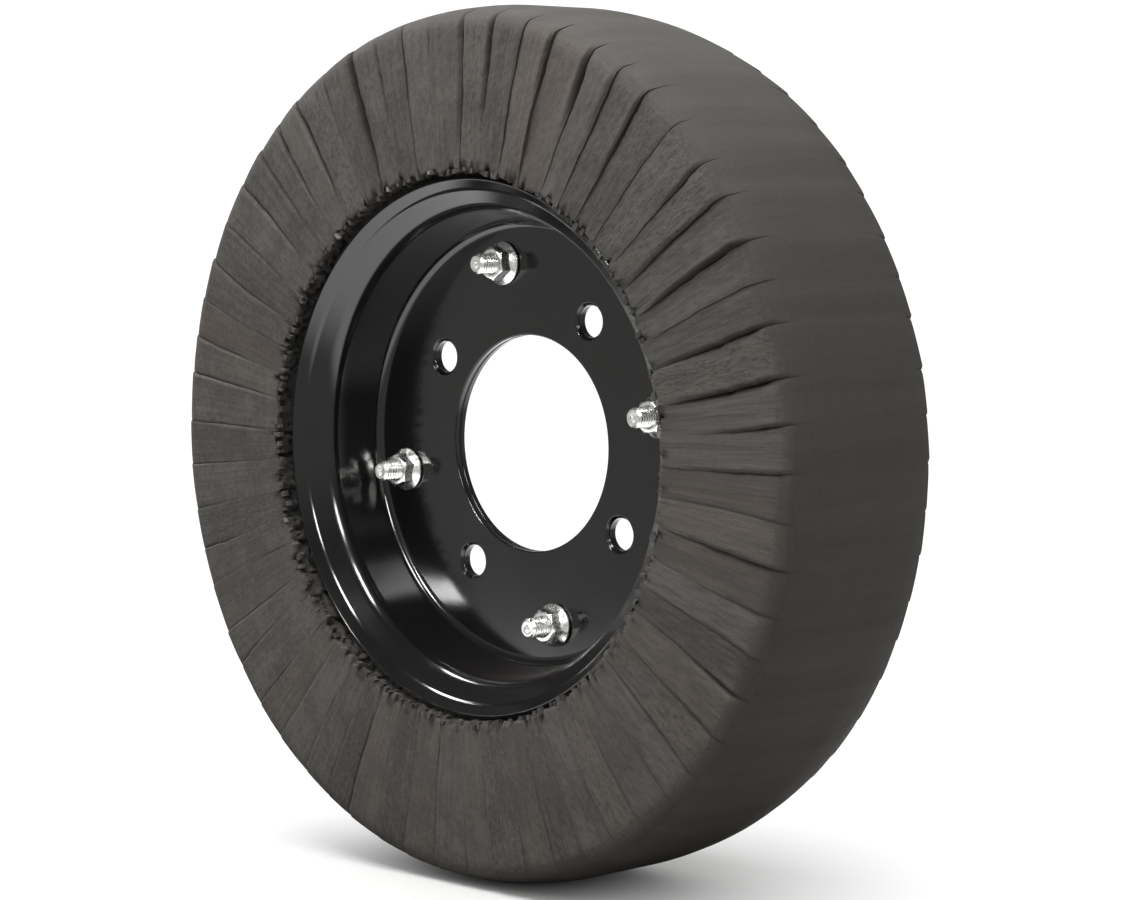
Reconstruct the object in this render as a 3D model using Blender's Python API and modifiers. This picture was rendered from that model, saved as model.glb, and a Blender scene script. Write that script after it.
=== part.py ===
"""Laminated-rubber tail wheel: a tyre of flat rubber plies strung on two steel hoops and clamped
between the two halves of a pressed-steel rim by four bolts with flange nuts.

Metres, +Z up. The wheel turns about Y and its nuts face -Y. The origin is the wheel's centre, on the
joint plane between the rim halves. Every piece hangs on one empty, turned so that its own Z is the
wheel's axis with the nut side up, and its own Y is the world's +Z. Heights below are along that axis.
"""

import math
import random

import bmesh
import bpy
from mathutils import Matrix, Vector

INCH = 0.0254
MM = 0.001
GAP = 0.3 * MM  # between pieces that touch
MERGE = 0.01 * MM

# Tyre, 16 x 4 in
TYRE_RADIUS = 8.0 * INCH
TREAD_FLAT = 22.3 * MM  # half width of the level middle of the tread
CROWN_RADIUS, CROWN_HEIGHT = 201.6 * MM, 36.0 * MM
SHOULDER_RADIUS, SHOULDER_HEIGHT = 198.2 * MM, 46.5 * MM
SIDE_TOP_RADIUS, SIDE_TOP_HEIGHT = 193.5 * MM, 49.2 * MM
SIDE_MID_RADIUS = 160.0 * MM
TYRE_HALF_WIDTH = 2.0 * INCH
SIDE_INNER_RADIUS, SIDE_INNER_HEIGHT = 127.2 * MM, 50.2 * MM
PACKS = 30  # each stands for two neighbouring plies
PACK_SPREAD = 0.08  # how far a pack's thickness strays from the mean, as a share of it
PACK_SEED = 16
GROOVE_SHARE = 0.06  # half width of the groove between a pack's two plies, as a share of the pack
GROOVE_DEPTH = 1.6 * MM

# Hoops that string the plies together, 3/8 in rod
HOOP_CIRCLE_RADIUS = 152.0 * MM
HOOP_HEIGHT = 22.0 * MM
HOOP_ROD_RADIUS = 0.1875 * INCH
HOOP_HOLE_RADIUS = 6.4 * MM
HOOP_HOLE_LENGTH = 60.0 * MM
HOOP_HOLE_SIDES = 10
HOOP_SAG = HOOP_CIRCLE_RADIUS * (1 - math.cos(math.pi / PACKS))  # of the ring, across one pack
HOOP_STEPS = 40
HOOP_ROD_SIDES = 8

# Rim half, pressed from sheet
SHEET = 3.2 * MM
BORE_RADIUS = 2.0 * INCH
DISC_FACE = SHEET + GAP / 2
DISC_BEND = (104.0 * MM, DISC_FACE)  # corners of the visible face, before they are rounded
BARREL_BEND = (110.0 * MM, 30.0 * MM)
LIP_BEND = (120.4 * MM, 46.1 * MM)
LIP_EDGE = (123.6 * MM, 46.1 * MM)
BEND_RADII = (6.0 * MM, 4.0 * MM, 3.4 * MM)  # at the middle of the sheet, in the order above
BEND_STEPS = (3, 1, 2)
RIM_STEPS = 40
TYRE_SEAT_CLEARANCE = 0.6 * MM

# Holes in the rim's disc
STUD_CIRCLE_RADIUS = 2.75 * INCH
STUD_HOLE_RADIUS = 7.5 * MM
STUD_SEAT_RADIUS = 8.9 * MM
STUD_SEAT_DEPTH = 1.4 * MM
STUD_ANGLE = math.radians(56.4)
STUDS = 4
CLAMP_CIRCLE_RADIUS = 3.375 * INCH
CLAMP_HOLE_RADIUS = 5.3 * MM
CLAMP_ANGLE = math.radians(11.4)
HOLE_SIDES = 16
HOLE_CUTTER_REACH = 4 * SHEET  # each way from the joint plane

# Clamp fasteners, 3/8-16
CLAMPS = 4
BOLT_RADIUS = 0.1875 * INCH
BOLT_LENGTH = 1.0 * INCH
BOLT_POINT = 1.0 * MM  # chamfer at the bolt's end
HEX_FLATS = 0.5625 * INCH
HEAD_HEIGHT = 6.2 * MM
HEAD_TURN = math.radians(15.0)
HEAD_SEAT = -(DISC_FACE + GAP)
NUT_HEIGHT = 8.6 * MM
NUT_BORE_RADIUS = BOLT_RADIUS + GAP
NUT_SEAT = DISC_FACE + GAP
NUT_TURNS = (math.radians(8.0), math.radians(37.0), math.radians(21.0), math.radians(50.0))
FLANGE_RADIUS, FLANGE_EDGE = 10.2 * MM, 1.4 * MM
FLANGE_TOP_RADIUS, FLANGE_HEIGHT = 7.4 * MM, 3.3 * MM  # where its cone runs out on the hexagon


def clear_scene():
    for obj in list(bpy.data.objects):
        bpy.data.objects.remove(obj)


def new_collection(name):
    collection = bpy.data.collections.new(name)
    bpy.context.scene.collection.children.link(collection)
    return collection


def new_material(name, color, roughness, metallic):
    material = bpy.data.materials.new(name)
    material.use_nodes = True
    shader = material.node_tree.nodes["Principled BSDF"]
    shader.inputs["Base Color"].default_value = (*color, 1.0)
    shader.inputs["Roughness"].default_value = roughness
    shader.inputs["Metallic"].default_value = metallic
    return material


def mesh_from(bm, name):
    bmesh.ops.recalc_face_normals(bm, faces=bm.faces)
    mesh = bpy.data.meshes.new(name)
    bm.to_mesh(mesh)
    bm.free()
    return mesh


def on_circle(radius, angle, height=0.0):
    return Vector((radius * math.cos(angle), radius * math.sin(angle), height))


def clamp_angle(number):
    return CLAMP_ANGLE + number * math.tau / CLAMPS


def stud_place(number):
    return on_circle(STUD_CIRCLE_RADIUS, STUD_ANGLE + number * math.tau / STUDS)


# --- shaping -----------------------------------------------------------------------------------


def turned(name, profile, steps, closed=True):
    """An object turned about its Z axis from (radius, height) points, run down its outer side."""
    bm = bmesh.new()
    points = [bm.verts.new((radius, 0.0, height)) for radius, height in profile]
    for start, end in zip(points, points[1:]):
        bm.edges.new((start, end))
    if closed:
        bm.edges.new((points[-1], points[0]))
    mesh = bpy.data.meshes.new(name)
    bm.to_mesh(mesh)
    bm.free()
    obj = bpy.data.objects.new(name, mesh)
    screw = obj.modifiers.new("turn", "SCREW")
    screw.axis = "Z"
    screw.steps = steps
    screw.render_steps = steps
    screw.use_merge_vertices = True
    screw.merge_threshold = MERGE
    return obj


def cylinder(bm, radius, bottom, top, place, sides=HOLE_SIDES, top_radius=None):
    """A cylinder, or a cone with a top radius of its own, standing at a place on the disc."""
    middle = Matrix.Translation((place.x, place.y, (bottom + top) / 2))
    bmesh.ops.create_cone(
        bm,
        segments=sides,
        radius1=radius,
        radius2=radius if top_radius is None else top_radius,
        depth=top - bottom,
        cap_ends=True,
        matrix=middle,
    )


def cut(obj, cutter, operation="DIFFERENCE"):
    boolean = obj.modifiers.new(cutter.name, "BOOLEAN")
    boolean.operation = operation
    boolean.object = cutter
    boolean.solver = "EXACT"


def finished_mesh(obj, name):
    """The mesh of an object with its modifiers applied."""
    bpy.context.view_layer.update()
    evaluated = obj.evaluated_get(bpy.context.evaluated_depsgraph_get())
    mesh = bpy.data.meshes.new_from_object(evaluated)
    mesh.name = name
    return mesh


def rounded_corner(before, corner, after, radius, steps):
    """Points of the arc that rounds a corner of an open outline."""
    to_before = (before - corner).normalized()
    to_after = (after - corner).normalized()
    half = to_before.angle(to_after) / 2
    start = corner + to_before * (radius / math.tan(half))
    end = corner + to_after * (radius / math.tan(half))
    centre = corner + (to_before + to_after).normalized() * (radius / math.sin(half))
    arc = []
    for step in range(steps + 1):
        along = start.lerp(end, step / steps)
        arc.append(centre + (along - centre).normalized() * radius)
    return arc


def sheet_profile():
    """The rim half's section: the line of the sheet's middle, thickened to both sides."""
    faces = [Vector(p) for p in ((BORE_RADIUS, DISC_FACE), DISC_BEND, BARREL_BEND, LIP_BEND, LIP_EDGE)]
    middle = offset_line(faces, -SHEET / 2)
    line = [middle[0]]
    for index, (radius, steps) in enumerate(zip(BEND_RADII, BEND_STEPS), start=1):
        line += rounded_corner(middle[index - 1], middle[index], middle[index + 1], radius, steps)
    line.append(middle[-1])
    front = offset_line(line, SHEET / 2)
    back = offset_line(line, -SHEET / 2)
    return [tuple(point) for point in back[::-1] + front]


def offset_line(points, distance):
    """An open line moved to its left, with mitred corners."""
    lefts = []
    for start, end in zip(points, points[1:]):
        along = (end - start).normalized()
        lefts.append(Vector((-along.y, along.x)))
    moved = [points[0] + lefts[0] * distance]
    for point, left, right in zip(points[1:], lefts, lefts[1:]):
        mitre = (left + right).normalized()
        moved.append(point + mitre * (distance / mitre.dot(left)))
    moved.append(points[-1] + lefts[-1] * distance)
    return moved


# --- rim ---------------------------------------------------------------------------------------


def hole_cutter():
    """Straight holes for the wheel studs and the clamp bolts, through both discs."""
    reach = HOLE_CUTTER_REACH
    bm = bmesh.new()
    for number in range(STUDS):
        cylinder(bm, STUD_HOLE_RADIUS, -reach, reach, stud_place(number))
    for number in range(CLAMPS):
        cylinder(bm, CLAMP_HOLE_RADIUS, -reach, reach, on_circle(CLAMP_CIRCLE_RADIUS, clamp_angle(number)))
    return mesh_from(bm, "hole_cutter")


def seat_cutter():
    """Coned mouths of the stud holes, on the outer face of each disc."""
    slope = (STUD_SEAT_RADIUS - STUD_HOLE_RADIUS) / STUD_SEAT_DEPTH
    low = DISC_FACE - STUD_SEAT_DEPTH
    high = DISC_FACE + SHEET
    wide = STUD_HOLE_RADIUS + slope * (high - low)
    bm = bmesh.new()
    for number in range(STUDS):
        cylinder(bm, STUD_HOLE_RADIUS, low, high, stud_place(number), top_radius=wide)
        cylinder(bm, wide, -high, -low, stud_place(number), top_radius=STUD_HOLE_RADIUS)
    return mesh_from(bm, "stud_seat_cutter")


def rim_half(name, turned_over, cutters):
    """One pressing. The back half is the same one, turned over about a line through two stud holes."""
    half = turned(name, sheet_profile(), RIM_STEPS)
    if turned_over:
        half.rotation_euler = (math.pi, 0.0, 2 * STUD_ANGLE)
    for cutter in cutters:
        cut(half, cutter)
    return half


# --- tyre --------------------------------------------------------------------------------------


def ply_profile():
    """A ply's outline as (radius, height), from the tread round to its end behind the rim's lip."""
    faces = [Vector(p) for p in (DISC_BEND, BARREL_BEND, LIP_BEND, LIP_EDGE)]
    seat = offset_line(faces, -(SHEET + TYRE_SEAT_CLEARANCE))
    half = [
        (TYRE_RADIUS, TREAD_FLAT),
        (CROWN_RADIUS, CROWN_HEIGHT),
        (SHOULDER_RADIUS, SHOULDER_HEIGHT),
        (SIDE_TOP_RADIUS, SIDE_TOP_HEIGHT),
        (SIDE_MID_RADIUS, TYRE_HALF_WIDTH),
        (SIDE_INNER_RADIUS, SIDE_INNER_HEIGHT),
        (SIDE_INNER_RADIUS, seat[2].y),
        (seat[2].x, seat[2].y),
        (seat[1].x, seat[1].y),
    ]
    return half + [(radius, -height) for radius, height in reversed(half)]


def pack_edges():
    """Angles of the joints between packs: nearly even, and the same each time."""
    rng = random.Random(PACK_SEED)
    widths = [1.0 + rng.uniform(-PACK_SPREAD, PACK_SPREAD) for _ in range(PACKS)]
    scale = math.tau / sum(widths)
    edges = [0.0]
    for width in widths:
        edges.append(edges[-1] + width * scale)
    return edges


def grooved(radius, height):
    """A point of the ply's outline, moved in to the bottom of the groove on the tread and the sides."""
    if radius > SIDE_MID_RADIUS + MM:
        radius -= GROOVE_DEPTH
    if abs(height) > SHOULDER_HEIGHT - MM:
        height -= math.copysign(GROOVE_DEPTH, height)
    return radius, height


def ply_pack(name, start, end):
    """Two neighbouring plies as one wedge, with a groove round them where they meet."""
    half_gap = GAP / (2 * BARREL_BEND[0])
    middle = (start + end) / 2
    groove = GROOVE_SHARE * (end - start)
    stations = (start + half_gap, middle - groove, middle, middle + groove, end - half_gap)
    steps = len(stations) - 1
    bm = bmesh.new()
    section = [bm.verts.new((radius, 0.0, height)) for radius, height in ply_profile()]
    face = bm.faces.new(section)
    bmesh.ops.spin(
        bm,
        geom=[face, *face.edges, *section],
        axis=(0.0, 0.0, 1.0),
        angle=math.radians(steps),
        steps=steps,
    )
    for vert in bm.verts:
        radius, height = math.hypot(vert.co.x, vert.co.y), vert.co.z
        step = round(math.degrees(math.atan2(vert.co.y, vert.co.x)))
        if step == steps // 2:
            radius, height = grooved(radius, height)
        vert.co = on_circle(radius, stations[step], height)
    return bpy.data.objects.new(name, mesh_from(bm, name))


def hoop_hole_cutter(name, middle):
    """Two straight punched holes across one pack, square to its middle."""
    bm = bmesh.new()
    across = Matrix.Rotation(middle, 4, "Z") @ Matrix.Rotation(math.radians(90.0), 4, "X")
    for side in (-1, 1):
        place = Matrix.Translation(on_circle(HOOP_CIRCLE_RADIUS - HOOP_SAG / 2, middle, side * HOOP_HEIGHT))
        bmesh.ops.create_cone(
            bm,
            segments=HOOP_HOLE_SIDES,
            radius1=HOOP_HOLE_RADIUS,
            radius2=HOOP_HOLE_RADIUS,
            depth=HOOP_HOLE_LENGTH,
            cap_ends=True,
            matrix=place @ across,
        )
    return bpy.data.objects.new(name, mesh_from(bm, name))


def hoop(name, height):
    """A closed ring of rod that strings all the plies."""
    rod = []
    for side in range(HOOP_ROD_SIDES):
        turn = -side * math.tau / HOOP_ROD_SIDES
        across, up = HOOP_ROD_RADIUS * math.cos(turn), HOOP_ROD_RADIUS * math.sin(turn)
        rod.append((HOOP_CIRCLE_RADIUS + across, up))
    ring = turned(name, rod, HOOP_STEPS)
    ring.location = (0.0, 0.0, height)
    return ring


# --- clamp fasteners ---------------------------------------------------------------------------


def hex_prism(name, bottom, top):
    bm = bmesh.new()
    corner_radius = HEX_FLATS / 2 / math.cos(math.pi / 6)
    cylinder(bm, corner_radius, bottom, top, Vector((0.0, 0.0)), sides=6)
    return bpy.data.objects.new(name, mesh_from(bm, name))


def joined(name, cutters, body, tools):
    """The mesh of a body after each (form, operation) of its tools has worked on it."""
    for form in (body, *(tool for tool, _ in tools)):
        cutters.objects.link(form)
        mark_cutter(form)
    for tool, operation in tools:
        cut(body, tool, operation)
    return finished_mesh(body, name)


def bolt_mesh(cutters):
    """A hexagon-head bolt whose origin is under its head."""
    shank = turned(
        "bolt_shank_form",
        [
            (0.0, BOLT_LENGTH),
            (BOLT_RADIUS - BOLT_POINT, BOLT_LENGTH),
            (BOLT_RADIUS, BOLT_LENGTH - BOLT_POINT),
            (BOLT_RADIUS, -HEAD_HEIGHT / 2),
            (0.0, -HEAD_HEIGHT / 2),
        ],
        HOLE_SIDES,
        closed=False,
    )
    head = hex_prism("bolt_head_form", -HEAD_HEIGHT, 0.0)
    return joined("clamp_bolt", cutters, head, [(shank, "UNION")])


def nut_mesh(cutters):
    """A hexagon nut with a coned flange, whose origin is on its seat."""
    flange = turned(
        "nut_flange_form",
        [
            (0.0, FLANGE_HEIGHT),
            (FLANGE_TOP_RADIUS, FLANGE_HEIGHT),
            (FLANGE_RADIUS, FLANGE_EDGE),
            (FLANGE_RADIUS, 0.0),
            (0.0, 0.0),
        ],
        HOLE_SIDES,
        closed=False,
    )
    bm = bmesh.new()
    cylinder(bm, NUT_BORE_RADIUS, -NUT_HEIGHT, 2 * NUT_HEIGHT, Vector((0.0, 0.0)))
    bore = bpy.data.objects.new("nut_bore_cutter", mesh_from(bm, "nut_bore_cutter"))
    hexagon = hex_prism("nut_hexagon_form", FLANGE_EDGE / 2, NUT_HEIGHT)
    return joined("clamp_nut", cutters, hexagon, [(flange, "UNION"), (bore, "DIFFERENCE")])


def mark_cutter(obj):
    obj.hide_render = True
    obj.display_type = "WIRE"


# --- assembly ----------------------------------------------------------------------------------


def build():
    clear_scene()
    parts = new_collection("laminated_tail_wheel")
    cutters = new_collection("cutters")
    gloss_black = new_material("gloss_black_paint", (0.012, 0.012, 0.013), 0.12, 0.0)
    rubber = new_material("ply_rubber", (0.075, 0.07, 0.065), 0.85, 0.0)
    zinc = new_material("bright_zinc", (0.75, 0.76, 0.78), 0.25, 1.0)
    rod_steel = new_material("plain_steel", (0.35, 0.35, 0.36), 0.45, 1.0)

    axis = bpy.data.objects.new("wheel_axis", None)
    axis.rotation_euler = (math.radians(90.0), 0.0, 0.0)
    parts.objects.link(axis)

    def place(obj, material):
        parts.objects.link(obj)
        obj.parent = axis
        obj.data.materials.clear()
        obj.data.materials.append(material)
        return obj

    def add_cutter(obj):
        cutters.objects.link(obj)
        obj.parent = axis
        mark_cutter(obj)
        return obj

    holes = add_cutter(bpy.data.objects.new("hole_cutter", hole_cutter()))
    seats = add_cutter(bpy.data.objects.new("stud_seat_cutter", seat_cutter()))
    place(rim_half("rim_half_front", False, (holes, seats)), gloss_black)
    place(rim_half("rim_half_back", True, (holes, seats)), gloss_black)

    edges = pack_edges()
    for number, (start, end) in enumerate(zip(edges, edges[1:]), start=1):
        punch = add_cutter(hoop_hole_cutter(f"hoop_hole_cutter_{number:02d}", (start + end) / 2))
        pack = place(ply_pack(f"ply_pack_{number:02d}", start, end), rubber)
        cut(pack, punch)
    place(hoop("tyre_hoop_front", HOOP_HEIGHT), rod_steel)
    place(hoop("tyre_hoop_back", -HOOP_HEIGHT), rod_steel)

    shared_bolt, shared_nut = bolt_mesh(cutters), nut_mesh(cutters)
    for number in range(CLAMPS):
        bolt = place(bpy.data.objects.new(f"clamp_bolt_{number + 1}", shared_bolt), zinc)
        bolt.location = on_circle(CLAMP_CIRCLE_RADIUS, clamp_angle(number), HEAD_SEAT)
        bolt.rotation_euler = (0.0, 0.0, HEAD_TURN)
        nut = place(bpy.data.objects.new(f"clamp_nut_{number + 1}", shared_nut), zinc)
        nut.location = on_circle(CLAMP_CIRCLE_RADIUS, clamp_angle(number), NUT_SEAT)
        nut.rotation_euler = (0.0, 0.0, NUT_TURNS[number])


build()
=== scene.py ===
"""The looks of a laminated-rubber tail wheel: gloss black rim, rough cut plies and zinc fasteners.

Metres, +Z up. The wheel turns about Y with its nuts facing -Y. Shapes below are worked out in the
wheel's own terms: a radius from its axis, an angle from +X towards +Z, and a height towards the nuts.
"""

import math
import random

import bmesh
import bpy
from mathutils import Matrix, Quaternion, Vector, noise


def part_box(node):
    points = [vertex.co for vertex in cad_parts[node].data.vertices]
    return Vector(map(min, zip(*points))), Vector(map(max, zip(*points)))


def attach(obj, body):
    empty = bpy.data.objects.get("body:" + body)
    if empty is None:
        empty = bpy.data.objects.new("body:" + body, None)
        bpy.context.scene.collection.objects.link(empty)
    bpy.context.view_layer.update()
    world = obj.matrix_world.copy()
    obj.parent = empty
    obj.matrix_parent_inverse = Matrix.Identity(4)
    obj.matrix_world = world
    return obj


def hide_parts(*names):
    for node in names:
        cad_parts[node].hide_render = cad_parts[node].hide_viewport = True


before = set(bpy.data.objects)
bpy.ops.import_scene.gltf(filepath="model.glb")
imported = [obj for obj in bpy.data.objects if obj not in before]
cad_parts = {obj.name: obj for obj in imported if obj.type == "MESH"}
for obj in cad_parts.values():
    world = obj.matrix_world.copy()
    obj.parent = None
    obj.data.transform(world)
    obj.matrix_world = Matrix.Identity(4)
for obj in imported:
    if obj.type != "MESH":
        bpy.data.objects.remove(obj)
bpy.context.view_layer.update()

MM = 0.001
WHEEL = "wheel"
SIDES = {"front": 1.0, "back": -1.0}
SEED = 29


# --- the frame's own measures ------------------------------------------------------------------


def polar_vertices(node):
    """A node's vertices as (radius, angle, height)."""
    found = []
    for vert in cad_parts[node].data.vertices:
        x, y, z = vert.co
        found.append((math.hypot(x, z), math.atan2(z, x), -y))
    return found


def reach(values):
    values = list(values)
    return min(values), max(values)


RIM = polar_vertices("rim_half_front")
PACK = polar_vertices("ply_pack_01")
PACKS = 30
BORE_RADIUS, LIP_RADIUS = reach(radius for radius, _, _ in RIM)
JOINT_GAP, LIP_HEIGHT = reach(height for _, _, height in RIM)
SHEET = 3.2 * MM
DISC_FACE = JOINT_GAP + SHEET
TYRE_RADIUS = max(radius for radius, _, _ in PACK)
TYRE_HALF_WIDTH = max(height for _, _, height in PACK)

# Corners of the rim's visible face as (radius, height), from the disc out to the lip
DISC_BEND = (104.0 * MM, DISC_FACE)
BARREL_BEND = (109.0 * MM, 31.6 * MM)
FLARE_DIP = (118.4 * MM, 38.8 * MM)
FLARE_RISE = (119.2 * MM, 39.9 * MM)
LIP_EDGE = (LIP_RADIUS - 0.1 * MM, LIP_HEIGHT - 2.4 * MM)
# One for each corner between the bore and the lip, at the middle of the sheet
BEND_RADII = (6.0 * MM, 10.5 * MM, 5.5 * MM, 5.5 * MM)
SHEET_EDGE_RADIUS = 0.7 * MM
RIM_STEPS = 240

STUD_CIRCLE_RADIUS = 69.85 * MM
STUD_ANGLE = math.radians(56.4)
STUD_HOLE_RADIUS = 7.5 * MM
STUD_SEAT_RADIUS = 8.9 * MM
STUD_SEAT_DEPTH = 1.4 * MM
CLAMP_HOLE_RADIUS = 5.3 * MM
CLAMPS = 4


def centre_of(node):
    low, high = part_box(node)
    return (low + high) / 2


def heights_of(node):
    """Lowest and highest place of a node along the wheel's axis, towards the nuts."""
    low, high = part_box(node)
    return -high.y, -low.y


# --- meshes ------------------------------------------------------------------------------------

SHARP_EDGE = math.radians(35.0)


def at(radius, angle, height):
    return Vector((radius * math.cos(angle), -height, radius * math.sin(angle)))


def skinned(name, rings, wrap, attributes=None):
    """A closed mesh over rings of equally many points: wrapped round, or capped at both ends.

    Attributes are (kind, flat list of values) by name, with a value or a vector for each vertex.
    """
    count = len(rings[0])
    verts = [point for ring in rings for point in ring]
    faces = []
    for index in range(len(rings) if wrap else len(rings) - 1):
        here = index * count
        there = (index + 1) % len(rings) * count
        for step in range(count):
            after = (step + 1) % count
            faces.append((here + step, here + after, there + after, there + step))
    if not wrap:
        faces.append(tuple(range(count)))
        faces.append(tuple(range((len(rings) - 1) * count, len(rings) * count)))
    mesh = bpy.data.meshes.new(name)
    mesh.from_pydata(verts, [], faces)
    for key, (kind, values) in (attributes or {}).items():
        layer = mesh.attributes.new(key, kind, "POINT")
        layer.data.foreach_set("vector" if kind == "FLOAT_VECTOR" else "value", values)
    bm = bmesh.new()
    bm.from_mesh(mesh)
    bmesh.ops.recalc_face_normals(bm, faces=bm.faces)
    bm.to_mesh(mesh)
    bm.free()
    return mesh


def piece(name, mesh, material, body, nodes=(), sharp=SHARP_EDGE):
    """Puts a mesh on a body as a visible piece, in place of the frame's nodes if any are named."""
    mesh.materials.clear()
    mesh.materials.append(material)
    mesh.shade_smooth()
    mesh.set_sharp_from_angle(angle=sharp)
    obj = bpy.data.objects.new(name, mesh)
    bpy.context.scene.collection.objects.link(obj)
    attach(obj, body)
    if nodes:
        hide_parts(*nodes)
    return obj


def rounded_corner(before, corner, after, radius, steps):
    """Points of the arc that rounds a corner between two straight lines."""
    to_before = (before - corner).normalized()
    to_after = (after - corner).normalized()
    half = to_before.angle(to_after) / 2
    start = corner + to_before * (radius / math.tan(half))
    end = corner + to_after * (radius / math.tan(half))
    centre = corner + (to_before + to_after).normalized() * (radius / math.sin(half))
    arc = []
    for step in range(steps + 1):
        along = start.lerp(end, step / steps)
        arc.append(centre + (along - centre).normalized() * radius)
    return arc


def rounded_line(points, radii, steps):
    """An open line with each inner corner rounded to its own radius."""
    points = [Vector(point) for point in points]
    line = [points[0]]
    for index, radius in enumerate(radii, start=1):
        line += rounded_corner(points[index - 1], points[index], points[index + 1], radius, steps)
    line.append(points[-1])
    return line


def offset_line(points, distance):
    """An open line moved to its left, with mitred corners."""
    points = [Vector(point) for point in points]
    lefts = []
    for start, end in zip(points, points[1:]):
        along = (end - start).normalized()
        lefts.append(Vector((-along.y, along.x)))
    moved = [points[0] + lefts[0] * distance]
    for point, left, right in zip(points[1:], lefts, lefts[1:]):
        mitre = (left + right).normalized()
        moved.append(point + mitre * (distance / mitre.dot(left)))
    moved.append(points[-1] + lefts[-1] * distance)
    return moved


def softened(outline, radius, steps=4, sharp=math.radians(50.0)):
    """A closed outline with its sharp corners rounded."""
    soft = []
    for index, point in enumerate(outline):
        before, after = outline[index - 1], outline[(index + 1) % len(outline)]
        if (point - before).angle(after - point) > sharp:
            soft += rounded_corner(before, point, after, radius, steps)
        else:
            soft.append(point)
    return soft


# --- materials ---------------------------------------------------------------------------------

CUT_DARK, CUT_PALE = (0.043, 0.040, 0.036), (0.112, 0.1035, 0.093)
CUT_COOL, CUT_BROWN = (0.070, 0.065, 0.070), (0.125, 0.082, 0.062)
GROUND_DARK, GROUND_PALE = (0.060, 0.0565, 0.051), (0.086, 0.081, 0.0735)
GROUND_STREAK = (0.060, 0.056, 0.051)
# The third colour on the next line is painted shade, for the grooves between plies and the notches of the
# torn ends
PIT_COLOR, DUST_COLOR, GROOVE_SHADE_COLOR = (0.016, 0.015, 0.014), (0.14, 0.133, 0.125), (0.006, 0.0055, 0.005)


class Paint:
    """A node material under construction. Its places are the object's own coordinates, in metres."""

    def __init__(self, name):
        self.material = bpy.data.materials.new(name)
        self.material.use_nodes = True
        self.tree = self.material.node_tree
        self.shader = self.tree.nodes["Principled BSDF"]
        self.places = self.add("ShaderNodeTexCoord").outputs["Object"]

    def add(self, kind, **settings):
        node = self.tree.nodes.new(kind)
        for key, value in settings.items():
            setattr(node, key, value)
        return node

    def feed(self, socket, value):
        if isinstance(value, bpy.types.NodeSocket):
            self.tree.links.new(value, socket)
        elif isinstance(value, tuple) and len(value) == 3 and socket.type == "RGBA":
            socket.default_value = (*value, 1.0)
        else:
            socket.default_value = value

    def set(self, **inputs):
        for key, value in inputs.items():
            self.feed(self.shader.inputs[key.replace("_", " ")], value)

    def attribute(self, name, output="Fac"):
        return self.add("ShaderNodeAttribute", attribute_name=name).outputs[output]

    def stretched(self, vector, scale):
        node = self.add("ShaderNodeVectorMath", operation="MULTIPLY")
        self.feed(node.inputs[0], vector)
        node.inputs[1].default_value = scale
        return node.outputs["Vector"]

    def shifted(self, vector, by):
        node = self.add("ShaderNodeVectorMath", operation="ADD")
        self.feed(node.inputs[0], vector)
        self.feed(node.inputs[1], by)
        return node.outputs["Vector"]

    def noise(self, vector, scale, detail, roughness):
        node = self.add("ShaderNodeTexNoise")
        self.feed(node.inputs["Vector"], vector)
        self.feed(node.inputs["Scale"], scale)
        self.feed(node.inputs["Detail"], detail)
        self.feed(node.inputs["Roughness"], roughness)
        return node.outputs["Fac"]

    def ranged(self, value, low, high, to_low=0.0, to_high=1.0):
        node = self.add("ShaderNodeMapRange", interpolation_type="SMOOTHSTEP")
        for index, number in enumerate((value, low, high, to_low, to_high)):
            self.feed(node.inputs[index], number)
        return node.outputs["Result"]

    def math(self, operation, first, second):
        node = self.add("ShaderNodeMath", operation=operation)
        self.feed(node.inputs[0], first)
        self.feed(node.inputs[1], second)
        return node.outputs[0]

    def mix(self, factor, first, second):
        node = self.add("ShaderNodeMix", data_type="RGBA")
        self.feed(node.inputs["Factor"], factor)
        self.feed(node.inputs["A"], first)
        self.feed(node.inputs["B"], second)
        return node.outputs["Result"]

    def bump(self, height, distance, strength=1.0, under=None):
        node = self.add("ShaderNodeBump")
        self.feed(node.inputs["Height"], height)
        node.inputs["Distance"].default_value = distance
        node.inputs["Strength"].default_value = strength
        if under is not None:
            self.feed(node.inputs["Normal"], under)
        return node.outputs["Normal"]


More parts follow.
